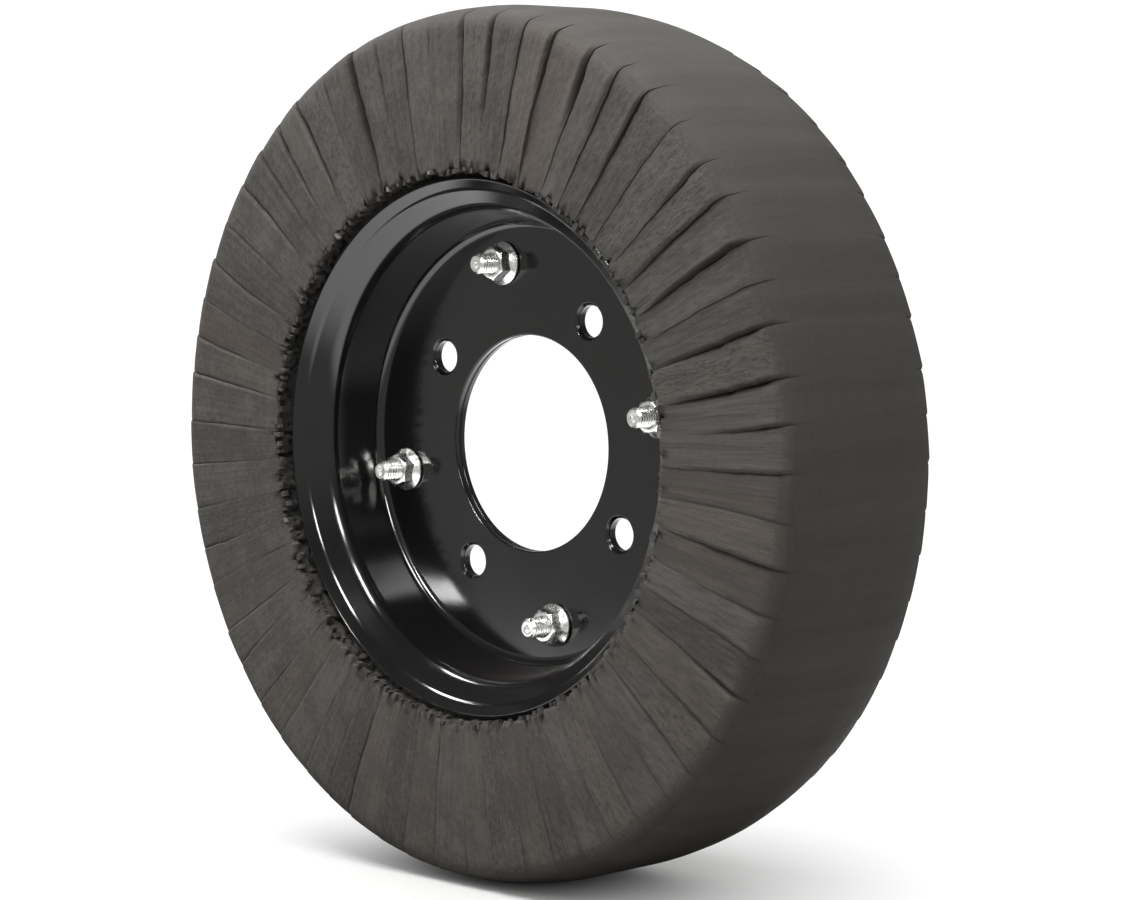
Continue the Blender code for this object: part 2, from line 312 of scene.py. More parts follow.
def rubber_material():
    """Casing rubber, cut on the sides and ground on the tread, with a tone and a grain for each ply."""
    paint = Paint("ply_rubber")
    along = paint.attribute("ply_place", "Vector")
    tone = paint.attribute("ply_tone")
    warm = paint.attribute("ply_warmth")
    grain = paint.attribute("ply_grain")
    groove_shade = paint.attribute("ply_groove_shade")
    tread = paint.attribute("ply_tread")
    streaks = paint.noise(paint.stretched(along, (24.0, 900.0, 1.0)), 1.0, 3.0, 0.6)
    blotches = paint.noise(paint.shifted(paint.places, along), 38.0, 4.0, 0.6)
    mottle = paint.noise(paint.shifted(paint.places, along), 260.0, 4.0, 0.7)
    speckle = paint.noise(paint.places, 900.0, 3.0, 0.7)
    pits = paint.noise(paint.stretched(along, (350.0, 600.0, 1.0)), 1.0, 2.0, 0.6)

    shade = paint.math("ADD", tone, paint.ranged(blotches, 0.3, 0.7, -0.25, 0.25))
    shade = paint.math("ADD", shade, paint.ranged(streaks, 0.3, 0.7, -0.25, 0.25))
    shade = paint.math("ADD", shade, paint.ranged(mottle, 0.3, 0.7, -0.3, 0.3))
    color = paint.mix(shade, CUT_DARK, CUT_PALE)
    color = paint.mix(paint.ranged(blotches, 0.32, 0.46, 0.4, 0.0), color, CUT_COOL)
    color = paint.mix(paint.math("MULTIPLY", warm, 0.8), color, CUT_BROWN)
    bands = paint.noise(paint.stretched(along, (3.0, 60.0, 1.0)), 1.0, 3.0, 0.6)
    ground = paint.mix(paint.ranged(bands, 0.3, 0.7), GROUND_DARK, GROUND_PALE)
    ground = paint.mix(paint.ranged(streaks, 0.2, 0.8, 0.0, 0.5), ground, GROUND_STREAK)
    color = paint.mix(paint.math("MULTIPLY", tread, 0.94), color, ground)
    grain = paint.math("MULTIPLY", grain, paint.math("SUBTRACT", 1.0, tread))
    dark_specks = paint.math("MULTIPLY", paint.ranged(pits, 0.52, 0.68), grain)
    color = paint.mix(paint.math("MULTIPLY", dark_specks, 0.75), color, PIT_COLOR)
    color = paint.mix(paint.ranged(speckle, 0.3, 0.75, 0.0, 0.3), color, DUST_COLOR)
    # Painted shade: darkest in deep grooves between plies, in the notches of the torn ends and next to the
    # rim seat
    color = paint.mix(groove_shade, color, GROOVE_SHADE_COLOR)
    rough = paint.ranged(speckle, 0.2, 0.8, 0.72, 0.95)
    fine = paint.bump(speckle, 0.16 * MM, 0.8)
    coarse = paint.bump(mottle, 0.3 * MM, 0.6, fine)
    cuts = paint.bump(streaks, 0.12 * MM, 0.4, coarse)
    holes = paint.bump(paint.math("MULTIPLY", pits, grain), 0.6 * MM, 0.8, cuts)
    paint.set(Base_Color=color, Roughness=rough, Normal=holes, Specular_IOR_Level=0.25)
    return paint.material


def rim_material():
    """Gloss black enamel, a little uneven, with specks of dust and a faint bloom at a low angle."""
    paint = Paint("rim_paint")
    peel = paint.noise(paint.places, 420.0, 2.0, 0.5)
    cloud = paint.noise(paint.places, 22.0, 4.0, 0.6)
    dust = paint.ranged(paint.noise(paint.places, 260.0, 5.0, 0.7), 0.55, 0.8, 0.0, 0.06)
    color = paint.mix(cloud, (0.0045, 0.004, 0.004), (0.0085, 0.0075, 0.0072))
    color = paint.mix(dust, color, (0.12, 0.11, 0.10))
    rough = paint.ranged(cloud, 0.3, 0.7, 0.11, 0.16)
    wavy = paint.bump(peel, 0.008 * MM, 0.35)
    paint.set(Base_Color=color, Roughness=rough, Normal=wavy, Specular_IOR_Level=0.55)
    paint.set(Sheen_Weight=0.3, Sheen_Roughness=0.3, Sheen_Tint=(0.95, 0.93, 0.90))
    return paint.material


def zinc_material():
    """Bright zinc plate with faint mottling and handling marks."""
    paint = Paint("bright_zinc")
    mottle = paint.noise(paint.places, 600.0, 4.0, 0.6)
    marks = paint.noise(paint.stretched(paint.places, (500.0, 2500.0, 500.0)), 1.0, 3.0, 0.6)
    color = paint.mix(mottle, (0.62, 0.62, 0.60), (0.90, 0.90, 0.88))
    rough = paint.ranged(mottle, 0.25, 0.75, 0.16, 0.36)
    paint.set(Base_Color=color, Metallic=1.0, Roughness=rough, Normal=paint.bump(marks, 0.03 * MM, 0.5))
    return paint.material


def rod_material():
    """Plain rolled steel with patches of rust."""
    paint = Paint("hoop_steel")
    rust = paint.noise(paint.places, 90.0, 6.0, 0.7)
    color = paint.mix(paint.ranged(rust, 0.45, 0.7), (0.30, 0.29, 0.28), (0.12, 0.055, 0.03))
    paint.set(Base_Color=color, Metallic=0.8, Roughness=paint.ranged(rust, 0.3, 0.7, 0.4, 0.8))
    return paint.material


def cord_material():
    """Torn cord and rubber, dark or, where the cord is bare, pale."""
    paint = Paint("casing_cord")
    fibre = paint.noise(paint.places, 1800.0, 3.0, 0.6)
    dark = paint.mix(fibre, (0.006, 0.005, 0.0045), (0.030, 0.026, 0.023))
    pale = paint.mix(fibre, (0.12, 0.11, 0.095), (0.42, 0.40, 0.37))
    color = paint.mix(paint.attribute("cord_pale"), dark, pale)
    paint.set(Base_Color=color, Roughness=0.9, Normal=paint.bump(fibre, 0.1 * MM, 0.6))
    return paint.material


# --- rim ---------------------------------------------------------------------------------------


def rim_outline():
    """The pressed sheet's section, with soft cut edges."""
    faces = [(BORE_RADIUS, DISC_FACE), DISC_BEND, BARREL_BEND, FLARE_DIP, FLARE_RISE, LIP_EDGE]
    middle = rounded_line(offset_line(faces, -SHEET / 2), BEND_RADII, 10)
    front = offset_line(middle, SHEET / 2)
    back = offset_line(middle, -SHEET / 2)
    return softened(back[::-1] + front, SHEET_EDGE_RADIUS)


def turned_cutter(name, outline, steps, places):
    """A turned solid, from a (radius, height) outline, about a line along Y at each of several places."""
    bm = bmesh.new()
    for place in places:
        rings = []
        for radius, height in outline:
            ring = []
            for step in range(steps):
                turn = step * math.tau / steps
                ring.append(bm.verts.new(place + at(radius, turn, height)))
            rings.append(ring)
        for lower, upper in zip(rings, rings[1:]):
            for step in range(steps):
                after = (step + 1) % steps
                bm.faces.new((lower[step], lower[after], upper[after], upper[step]))
        bm.faces.new(rings[0])
        bm.faces.new(rings[-1])
    bmesh.ops.recalc_face_normals(bm, faces=bm.faces)
    mesh = bpy.data.meshes.new(name)
    bm.to_mesh(mesh)
    bm.free()
    obj = bpy.data.objects.new(name, mesh)
    bpy.context.scene.collection.objects.link(obj)
    return obj


def stud_hole_outline():
    """A straight hole through both discs with a coned, softly rounded mouth on each face."""
    mouth = DISC_FACE - STUD_SEAT_DEPTH
    wide = 3.0 * STUD_HOLE_RADIUS
    half = [
        (STUD_HOLE_RADIUS, 0.0),
        (STUD_HOLE_RADIUS, mouth),
        (STUD_SEAT_RADIUS, DISC_FACE),
        (wide, DISC_FACE + 0.02 * MM),
    ]
    soft = rounded_line(half, (0.8 * MM, 0.5 * MM), 4)
    top = soft + [Vector((wide, 3 * DISC_FACE))]
    return [(radius, -height) for radius, height in reversed(top[1:])] + [tuple(point) for point in top]


def cut(obj, cutter):
    """Cuts the object now and removes the cutter."""
    boolean = obj.modifiers.new("cut", "BOOLEAN")
    boolean.object = cutter
    boolean.solver = "EXACT"
    bpy.context.view_layer.update()
    evaluated = obj.evaluated_get(bpy.context.evaluated_depsgraph_get())
    mesh = bpy.data.meshes.new_from_object(evaluated)
    obj.modifiers.clear()
    obj.data = mesh
    bpy.data.objects.remove(cutter)


def add_rim(paint):
    outline = rim_outline()
    studs = [at(STUD_CIRCLE_RADIUS, STUD_ANGLE + turn * math.tau / 4, 0.0) for turn in range(4)]
    clamps = []
    for number in range(1, CLAMPS + 1):
        place = centre_of(f"clamp_bolt_{number}")
        clamps.append(Vector((place.x, 0.0, place.z)))
    straight = [(CLAMP_HOLE_RADIUS, -4 * SHEET), (CLAMP_HOLE_RADIUS, 4 * SHEET)]
    for side, sign in SIDES.items():
        rings = []
        for step in range(RIM_STEPS):
            angle = step * math.tau / RIM_STEPS
            rings.append([at(radius, angle, sign * height) for radius, height in outline])
        name = f"rim_half_{side}"
        mesh = skinned(f"{name}_surface", rings, wrap=True)
        obj = piece(f"{name}_surface", mesh, paint, WHEEL, [name])
        cut(obj, turned_cutter("stud_holes", stud_hole_outline(), 64, studs))
        cut(obj, turned_cutter("clamp_holes", straight, 32, clamps))
        obj.data.shade_smooth()
        obj.data.set_sharp_from_angle(angle=SHARP_EDGE)
        flat = obj.modifiers.new("flat_faces_stay_flat", "WEIGHTED_NORMAL")
        flat.keep_sharp = True


# --- tyre --------------------------------------------------------------------------------------

SIDE_INNER_RADIUS = 127.2 * MM
SHOULDER_RADIUS = 198.2 * MM
SIDE_LENGTH = SHOULDER_RADIUS - SIDE_INNER_RADIUS
TYRE_SEAT_CLEARANCE = 1.4 * MM
CORD_STUBS = 190
PALE_STUBS = 0.05
HALF_COLUMNS = (0.0, 0.018, 0.042, 0.075, 0.12, 0.18, 0.26, 0.34, 0.42)
PLY_COLUMNS = (*HALF_COLUMNS, 0.5, *(1.0 - share for share in reversed(HALF_COLUMNS)))
PLY_GAP = 0.01 * MM
SHARP_FOLD = math.radians(60.0)
HIDDEN_STEP, TORN_STEP, FACE_STEP = 6.0 * MM, 1.2 * MM, 2.4 * MM
LEAST_STEP, LAST_STEP = 0.05 * MM, 0.3 * MM

# Relief of the plies: heights of lumps, widths beside a groove, and depths of wear and tears
LUMP, SMALL_LUMP, WEAR = 0.45 * MM, 0.12 * MM, 0.4 * MM
EDGE_WIDTH, HOLLOW_WIDTH = 1.4 * MM, 3.5 * MM
# Groove depth at which the painted shade in it is full
FULL_SHADE_DEPTH = 2.4 * MM
SHOULDER_START, SHOULDER_END = 36.0 * MM, 47.0 * MM
RAGGED_BAND, RAGGED_HEIGHT = 7.0 * MM, 38.0 * MM
TEAR, SMALL_TEAR, NOTCH = 1.6 * MM, 0.7 * MM, 2.4 * MM


def ply_outline():
    """Half of a ply's section as (radius, height): tread middle, shoulder, side, ragged end, rim seat."""
    seat = offset_line([DISC_BEND, BARREL_BEND, LIP_EDGE], -(SHEET + TYRE_SEAT_CLEARANCE))
    corners = [
        (TYRE_RADIUS, 0.0),
        (TYRE_RADIUS, 22.3 * MM),
        (201.6 * MM, 36.0 * MM),
        (SHOULDER_RADIUS, 46.5 * MM),
        (193.5 * MM, 49.2 * MM),
        (160.0 * MM, TYRE_HALF_WIDTH - 0.4 * MM),
        (SIDE_INNER_RADIUS, 50.0 * MM),
        (SIDE_INNER_RADIUS, seat[2].y),
        tuple(seat[1]),
        (seat[1].x, 0.0),
    ]
    radii = [value * MM for value in (60.0, 45.0, 6.0, 9.0, 150.0, 1.2, 0.8, 1.5)]
    return rounded_line(corners, radii, 6)


def resampled(line, spacing):
    """Points along a line, each step as long as spacing says for that place."""
    points = [line[0]]
    for start, end in zip(line, line[1:]):
        length = (end - start).length
        travelled = 0.0
        while True:
            here = start + (end - start) * (travelled / length) if length else start
            step = spacing(here)
            left = step - (points[-1] - here).length
            if left > length - travelled or length == 0:
                break
            travelled += max(left, LEAST_STEP)
            points.append(start + (end - start) * (travelled / length))
    if (points[-1] - line[-1]).length > LAST_STEP:
        points.append(line[-1])
    return points


def ply_spacing(place):
    """Finest at the torn inner end, coarsest inside the rim."""
    radius, _ = place
    if radius < SIDE_INNER_RADIUS - MM:
        return HIDDEN_STEP
    if radius < SIDE_INNER_RADIUS + 8 * MM:
        return TORN_STEP
    return FACE_STEP


def ply_stations():
    """The closed section as (radius, height, normal's radial part, normal's axial part, distance).

    The distance runs round the section from the tread's middle, forwards to one side and backwards
    to the other, so that the grain has no break on the tread.
    """
    half = resampled(ply_outline(), ply_spacing)
    loop = half + [Vector((point.x, -point.y)) for point in reversed(half[1:-1])]
    stations = []
    travelled = 0.0
    for index, point in enumerate(loop):
        before, after = loop[index - 1], loop[(index + 1) % len(loop)]
        along = (after - before).normalized()
        stations.append((point.x, point.y, along.y, -along.x, travelled))
        travelled += (after - point).length
    return [(*rest, along - travelled if along > travelled / 2 else along) for *rest, along in stations]


def smoothstep(value, low, high):
    """From 0 at low to 1 at high, also where low is the larger."""
    share = min(max((value - low) / (high - low), 0.0), 1.0)
    return share * share * (3 - 2 * share)


def bell(distance, width):
    return math.exp(-((distance / width) ** 2))


PRESSED_ANGLE, PRESSED_SPREAD = math.radians(205.0), math.radians(65.0)
LOOSE_ANGLE, LOOSE_SPREAD = math.radians(95.0), math.radians(45.0)


def turn_between(angle, other):
    """The smaller turn from one angle to another, either way round."""
    return (angle - other + math.pi) % math.tau - math.pi


def looseness(angle):
    """The plies are pressed together more tightly round one part of the tyre, and less at another."""
    pressed = bell(turn_between(angle, PRESSED_ANGLE), PRESSED_SPREAD)
    return 1.0 - 0.65 * pressed + 0.4 * bell(turn_between(angle, LOOSE_ANGLE), LOOSE_SPREAD)


class Seam:
    """Where two plies meet: a slightly bowed line, with a groove that opens towards the shoulder."""

    def __init__(self, angle, rng):
        self.angle = angle
        self.bow = rng.uniform(-0.7, 0.7) * math.radians(0.8)
        self.lean = rng.uniform(-1.0, 1.0) * math.radians(0.35)
        self.phase = rng.uniform(0.0, 90.0)
        self.width = rng.uniform(0.6, 1.0) * MM * math.sqrt(looseness(angle))
        deepest = looseness(angle) * MM
        self.depth = {side: rng.choice((0.2, 0.7, 1.3, 1.9, 2.6)) * deepest for side in SIDES.values()}
        self.opens = {side: rng.uniform(0.15, 0.7) for side in SIDES.values()}

    def at(self, radius):
        share = min(max((radius - SIDE_INNER_RADIUS) / SIDE_LENGTH, 0.0), 1.0)
        wander = noise.noise(Vector((radius * 150, self.phase, 0.0))) * 0.5 * MM / radius
        return self.angle + self.bow * 4 * share * (1 - share) + self.lean * (share - 1) + wander

    def groove(self, radius, side):
        """Depth of the groove in the tyre's side at this radius."""
        share = (radius - SIDE_INNER_RADIUS) / SIDE_LENGTH
        opening = smoothstep(share, self.opens[side] - 0.25, self.opens[side] + 0.3)
        closing = 1.0 - 0.9 * smoothstep(share, 0.88, 1.05)
        uneven = 0.8 + 0.5 * noise.noise(Vector((radius * 200, self.phase, side * 7.0)))
        return 0.04 * MM + self.depth[side] * opening * closing * uneven


class Ply:
    """One slab of casing between two seams, with a lie, a tone and a roughness of its own."""

    def __init__(self, number, start, end, rng):
        self.number = number
        self.start, self.end = start, end
        loose = looseness(start.angle) * MM
        self.proud = {side: rng.uniform(-0.35, 0.35) * loose for side in SIDES.values()}
        self.tilt = {side: rng.uniform(-0.2, 0.8) * loose for side in SIDES.values()}
        self.tread_proud = rng.uniform(-0.02, 0.02) * MM
        self.step = rng.uniform(0.05, 0.6) * MM
        self.end_radius = rng.uniform(-1.2, 0.8) * MM
        self.tone = rng.uniform(0.2, 0.8)
        self.warmth = rng.choice((0.0, 0.0, 0.0, 0.0, 0.05, 0.1, 0.25))
        self.grain = rng.choice((0.0, 0.05, 0.1, 0.3, 0.7))

    def span(self, radius):
        slack = PLY_GAP / radius
        return self.start.at(radius) + slack, self.end.at(radius) - slack

    def relief(self, station, share, angle, start, end):
        """How far the surface moves (out along the radius, along the axis) and how much painted shade it
        gets from its groove or torn end.
        """
        radius, height, radial, axial, _ = station
        side = 1.0 if height >= 0 else -1.0
        from_start, from_end = (angle - start) * radius, (end - angle) * radius
        place = Vector((radius * 70, angle * 9, height * 70 + self.number * 3.7))
        lumps = noise.noise(place * 0.6) * LUMP + noise.noise(place * 3.1) * SMALL_LUMP
        fade = smoothstep(radius, SIDE_INNER_RADIUS - 2 * MM, SIDE_INNER_RADIUS + 20 * MM)
        deep_start, deep_end = self.start.groove(radius, side), self.end.groove(radius, side)
        groove = deep_start * bell(from_start, self.start.width)
        groove = max(groove, deep_end * bell(from_end, self.end.width))
        edge = 0.25 * deep_start * bell(from_start - 2 * self.start.width, EDGE_WIDTH)
        hollow = 0.4 * deep_end * bell(from_end, HOLLOW_WIDTH)
        slope = self.tilt[side] * (1 - 2 * share) * fade
        out = self.proud[side] * fade + slope + lumps + edge - hollow - groove
        sideways = side * out * abs(axial)

        shoulder = smoothstep(abs(height), SHOULDER_START, SHOULDER_END)
        saw = self.step * (0.5 - share) * shoulder
        worn = noise.noise(at(radius, angle, height) * 14.0) * WEAR
        ground = self.tread_proud + worn + saw - 0.6 * groove * shoulder
        outward = ground * max(radial, 0.0)

        # Painted shade in the groove, on the sides only
        groove_shade = 0.8 * min(groove / FULL_SHADE_DEPTH, 1.0) * abs(axial)
        if radius < SIDE_INNER_RADIUS + RAGGED_BAND and abs(height) > RAGGED_HEIGHT:
            rag, dark = self.ragged(radius, height, angle)
            outward += rag
            groove_shade = max(groove_shade, dark)
        return outward, sideways, groove_shade

    def ragged(self, radius, height, angle):
        """The torn inner end: notches and lumps, with painted shade where they cut in and next to the rim
        seat.
        """
        reach_in = smoothstep(radius, SIDE_INNER_RADIUS + RAGGED_BAND, SIDE_INNER_RADIUS)
        place = Vector((angle * 34, height * 260, self.number * 1.3))
        torn = noise.noise(place) * TEAR + noise.noise(place * 2.3) * SMALL_TEAR
        notch = smoothstep(noise.noise(place * 1.1 + Vector((9.0, 0.0, 0.0))), 0.1, 0.3)
        moved = (self.end_radius + torn + notch * NOTCH) * reach_in
        inside = smoothstep(radius, SIDE_INNER_RADIUS + 1.0 * MM, SIDE_INNER_RADIUS - 0.2 * MM)
        # Painted shade in the notches and along the rim seat
        return moved, max(notch * reach_in * 0.8, inside * 0.55)


def tyre_seams():
    """Seams at the packs' edges as the frame has them, and one between the plies of each pack."""
    rng = random.Random(SEED)
    edges = []
    for number in range(1, PACKS + 1):
        angles = [angle for _, angle, _ in polar_vertices(f"ply_pack_{number:02d}")]
        if max(angles) - min(angles) > math.pi:
            angles = [angle % math.tau for angle in angles]
        edges.append(reach(angles))
    seams = []
    for index, (start, end) in enumerate(edges):
        before = edges[index - 1][1]
        joint = start - ((start - before) % math.tau) / 2
        middle = start + (end - start) * rng.uniform(0.42, 0.58)
        seams.append(Seam(joint, rng))
        seams.append(Seam(middle, rng))
    return seams


def ply_mesh(ply, stations):
    rings, places, groove_shades, treads = [], [], [], []
    for share in PLY_COLUMNS:
        ring = []
        for station in stations:
            radius, height, radial, axial, along = station
            start, end = ply.span(radius)
            angle = start + (end - start) * share
            outward, sideways, groove_shade = ply.relief(station, share, angle, start, end)
            ring.append(at(radius + outward, angle, height + sideways))
            tread = smoothstep(radial, 0.35, 0.95)
            places += (along, angle * TYRE_RADIUS, ply.number * 0.37 * (1 - tread))
            groove_shades.append(groove_shade)
            treads.append(tread)
        rings.append(ring)
    count = len(rings) * len(stations)
    attributes = {
        "ply_place": ("FLOAT_VECTOR", places),
        # Painted shade of the grooves and torn ends
        "ply_groove_shade": ("FLOAT", groove_shades),
        "ply_tread": ("FLOAT", treads),
        "ply_tone": ("FLOAT", [ply.tone] * count),
        "ply_warmth": ("FLOAT", [ply.warmth] * count),
        "ply_grain": ("FLOAT", [ply.grain] * count),
    }
    return skinned(f"ply_{ply.number + 1:02d}", rings, False, attributes)


def add_tyre(rubber):
    """One piece for each ply. Where a ply crosses angle 0, its far seam counts a whole turn on."""
    seams = tyre_seams()
    stations = ply_stations()
    rng = random.Random(SEED + 1)
    for number, seam in enumerate(seams):
        after = seams[(number + 1) % len(seams)]
        if after.angle < seam.angle:
            after.angle += math.tau
        mesh = ply_mesh(Ply(number, seam, after, rng), stations)
        pack = f"ply_pack_{number // 2 + 1:02d}"
        piece(mesh.name, mesh, rubber, WHEEL, [pack], sharp=SHARP_FOLD)
        if after.angle > math.tau:
            after.angle -= math.tau


def add_cord_ends(cord):
    """Stubs of cord and rubber that stand out of the plies' torn inner ends, dark but for a few."""
    rng = random.Random(SEED + 2)
    bm = bmesh.new()
    paleness = bm.verts.layers.float.new("cord_pale")
    for side in SIDES.values():
        for number in range(CORD_STUBS):
            angle = (number + rng.uniform(-0.4, 0.4)) * math.tau / CORD_STUBS
            outer = SIDE_INNER_RADIUS + rng.uniform(0.6, 2.2) * MM
            inner = SIDE_INNER_RADIUS - rng.uniform(0.0, 2.2) * MM
            middle = at((outer + inner) / 2, angle, side * rng.uniform(47.4, 49.8) * MM)
            size = (outer - inner, rng.uniform(1.4, 3.0) * MM, rng.uniform(1.2, 2.8) * MM)
            lean = Matrix.Rotation(-angle + rng.uniform(-0.25, 0.25), 4, "Y")
            place = Matrix.Translation(middle) @ lean @ Matrix.Diagonal((*size, 1.0))
            made = bmesh.ops.create_cube(bm, size=1.0, matrix=place)
            pale = rng.uniform(0.5, 1.0) if rng.random() < PALE_STUBS else rng.uniform(0.0, 0.25)
            for vert in made["verts"]:
                vert[paleness] = pale
    mesh = bpy.data.meshes.new("cord_ends")
    bm.to_mesh(mesh)
    bm.free()
    piece("cord_ends", mesh, cord, WHEEL)


# --- fasteners ---------------------------------------------------------------------------------

BOLT_RADIUS = 4.7625 * MM
THREAD_DEPTH = 0.85 * MM
PITCH = 25.4 * MM / 16
HEX_FLATS = 14.2875 * MM
CHAMFER_CIRCLE = 0.475 * HEX_FLATS
HEX_COLUMNS = 72
HEX_TURNS = [step * math.tau / HEX_COLUMNS for step in range(HEX_COLUMNS)]
HEAD_HEIGHT = 6.2 * MM
WASHER_FACE = 0.3 * MM
PLAIN_SHANK = 1.5 * MM
THREAD_ROWS = 8
POINT_CHAMFER = 1.1 * MM
THREAD_CLEARANCE = 0.15 * MM
NUT_MOUTH = 0.45 * MM
FLANGE_RADIUS, FLANGE_EDGE = 10.2 * MM, 1.4 * MM
FLANGE_TOP_RADIUS, FLANGE_HEIGHT = 7.4 * MM, 3.3 * MM
NUT_TURNS = (math.radians(8.0), math.radians(37.0), math.radians(21.0), math.radians(50.0))


def hex_radius(turn):
    return HEX_FLATS / 2 / math.cos((turn % (math.pi / 3)) - math.pi / 6)


def chamfer_drop(turn):
    """How far below its face a hexagon's side starts, where a 30 degree chamfer cuts it."""
    return max(hex_radius(turn) - CHAMFER_CIRCLE, 0.0) * math.tan(math.pi / 6)


def placed(rings, place, turn=0.0):
    """Rings of (radius, angle, height) about a line along the wheel's axis, moved to their place."""
    moved = []
    for ring in rings:
        moved.append([place + at(radius, angle + turn, height) for radius, angle, height in ring])
    return moved


def nut_rings(bottom, top):
    """A hexagon flange nut: a coned flange that runs out on the hexagon, and a chamfered top."""
    bore = BOLT_RADIUS + THREAD_CLEARANCE
    mouth = bore + NUT_MOUTH
    soft = 0.12 * MM
    cone = (FLANGE_HEIGHT - FLANGE_EDGE) / (FLANGE_RADIUS - FLANGE_TOP_RADIUS)
    rings = []
    for turn in HEX_TURNS:
        side = hex_radius(turn) - soft * 0.5
        drop = chamfer_drop(turn)
        foot = bottom + FLANGE_EDGE + (FLANGE_RADIUS - side) * cone
        section = [
            (mouth, bottom),
            (FLANGE_RADIUS - 3 * soft, bottom),
            (FLANGE_RADIUS, bottom + 3 * soft),
            (FLANGE_RADIUS, bottom + FLANGE_EDGE - 2 * soft),
            (FLANGE_RADIUS - 2 * soft, bottom + FLANGE_EDGE),
            (side + 3 * soft, foot - 2 * soft),
            (side + soft, foot + soft),
            (side, foot + 4 * soft),
            (side, top - drop - 2 * soft),
            (side - soft, top - drop),
            (CHAMFER_CIRCLE + soft, top - soft),
            (CHAMFER_CIRCLE - soft, top),
            (mouth, top),
            (bore, top - NUT_MOUTH),
            (bore, bottom + NUT_MOUTH),
        ]
        rings.append([(radius, turn, height) for radius, height in section])
    return rings


def level_ring(radius, height):
    return [(radius, turn, height) for turn in HEX_TURNS]


def bolt_rings(head_bottom, head_top, tip):
    """Rings up a bolt: hexagon head with a washer face, then the thread, its point and its dimple."""
    soft = 0.15 * MM
    flats_top = head_top - WASHER_FACE
    side_start, side_low, side_end, side_top = [], [], [], []
    for turn in HEX_TURNS:
        side = hex_radius(turn) - soft
        low = head_bottom + chamfer_drop(turn)
        side_start.append((side, turn, low))
        side_low.append((side, turn, low + 2 * soft))
        side_end.append((side, turn, flats_top - soft))
        side_top.append((hex_radius(turn) - 2 * soft, turn, flats_top))
    rings = [
        level_ring(0.35 * CHAMFER_CIRCLE, head_bottom + 0.12 * MM),
        level_ring(0.8 * CHAMFER_CIRCLE, head_bottom),
        level_ring(CHAMFER_CIRCLE - soft, head_bottom),
        side_start,
        side_low,
        side_end,
        side_top,
        level_ring(0.98 * CHAMFER_CIRCLE, flats_top),
        level_ring(0.96 * CHAMFER_CIRCLE, head_top),
        level_ring(BOLT_RADIUS, head_top),
    ]
    start = head_top + PLAIN_SHANK
    count = int((tip - start) / PITCH * THREAD_ROWS)
    for row in range(count + 1):
        height = start + (tip - start) * row / count
        runs_in = smoothstep(height, start, start + PITCH)
        point = max(height - (tip - POINT_CHAMFER), 0.0)
        ring = []
        for turn in HEX_TURNS:
            phase = (height / PITCH - turn / math.tau) % 1.0
            tooth = min(abs(2 * phase - 1) * 1.35, 1.0)
            radius = BOLT_RADIUS - THREAD_DEPTH * (1 - tooth) * runs_in
            ring.append((min(radius, BOLT_RADIUS - point), turn, height))
        rings.append(ring)
    rings.append(level_ring(0.62 * BOLT_RADIUS, tip + 0.05 * MM))
    rings.append(level_ring(0.42 * BOLT_RADIUS, tip - 0.1 * MM))
    rings.append(level_ring(0.26 * BOLT_RADIUS, tip - 1.5 * MM))
    return rings


def add_fasteners(zinc):
    rng = random.Random(SEED + 3)
    for number in range(1, CLAMPS + 1):
        bolt, nut = f"clamp_bolt_{number}", f"clamp_nut_{number}"
        middle = centre_of(bolt)
        axis = Vector((middle.x, 0.0, middle.z))
        bottom, tip = heights_of(bolt)
        rings = placed(bolt_rings(bottom, bottom + HEAD_HEIGHT, tip), axis, rng.uniform(0.0, 1.0))
        mesh = skinned(f"{bolt}_surface", rings, False)
        piece(mesh.name, mesh, zinc, bolt, [bolt])
        rings = placed(nut_rings(*heights_of(nut)), axis, NUT_TURNS[number - 1])
        mesh = skinned(f"{nut}_surface", rings, True)
        piece(mesh.name, mesh, zinc, nut, [nut])


# --- stage -------------------------------------------------------------------------------------

LENS_MM = 103.56
AZIMUTH, ELEVATION = math.radians(44.737), math.radians(4.493)
DISTANCE = 1.5181
SHIFT_RIGHT, SHIFT_UP = 0.01305, -0.00321

FLOOR_RADIUS = 1.3
WHITE = 1.1
# Glow of the floor as seen in the enamel, painted light
FLOOR_SHEEN = 2.6
ROOM_LIGHT = 0.43
ROOM_SHEEN = 0.56
HIGH_SHEEN = 0.16
HIGH_START, HIGH_END = 0.1, 0.45
SHADE_START, SHADE_END = 0.02, 0.24
OVAL_SHIFT, OVAL_SQUEEZE = 0.6, 1.8
OVAL_START, OVAL_END = 0.80, 1.12
# Width of the painted shadow under the tread in the floor's glow
TREAD_SHADOW_START, TREAD_SHADOW_END = 0.08, 0.13

# Each light: name, azimuth, elevation, distance, width, height, roll, power, whether it lights the rubber
# and whether it shows in the enamel
LIGHTS = (
    ("overhead", -110.0, 72.0, 1.0, 0.8, 0.6, 0.0, 11.5, True, False),
    ("front_soft", -100.0, 40.0, 2.0, 1.2, 1.0, 0.0, 2.4, True, False),
    ("left_soft", -165.0, 45.0, 2.0, 0.9, 0.9, 0.0, 8.0, True, False),
    ("back_soft", 80.0, 35.0, 2.0, 1.2, 1.0, 0.0, 5.0, True, False),
    ("right_soft", 5.0, 15.0, 2.0, 1.0, 1.0, 0.0, 3.5, True, False),
    ("box_low", -40.0, 29.0, 2.0, 0.30, 0.45, 0.0, 16.0, False, True),
    ("box_high", -57.0, 53.0, 2.0, 0.56, 0.26, -45.0, 26.0, False, True),
    ("box_left", -171.0, 52.0, 2.0, 0.6, 0.28, 58.0, 32.0, False, True),
    ("window", -99.0, 30.0, 2.0, 0.3, 0.2, 0.0, 26.0, False, True),
)


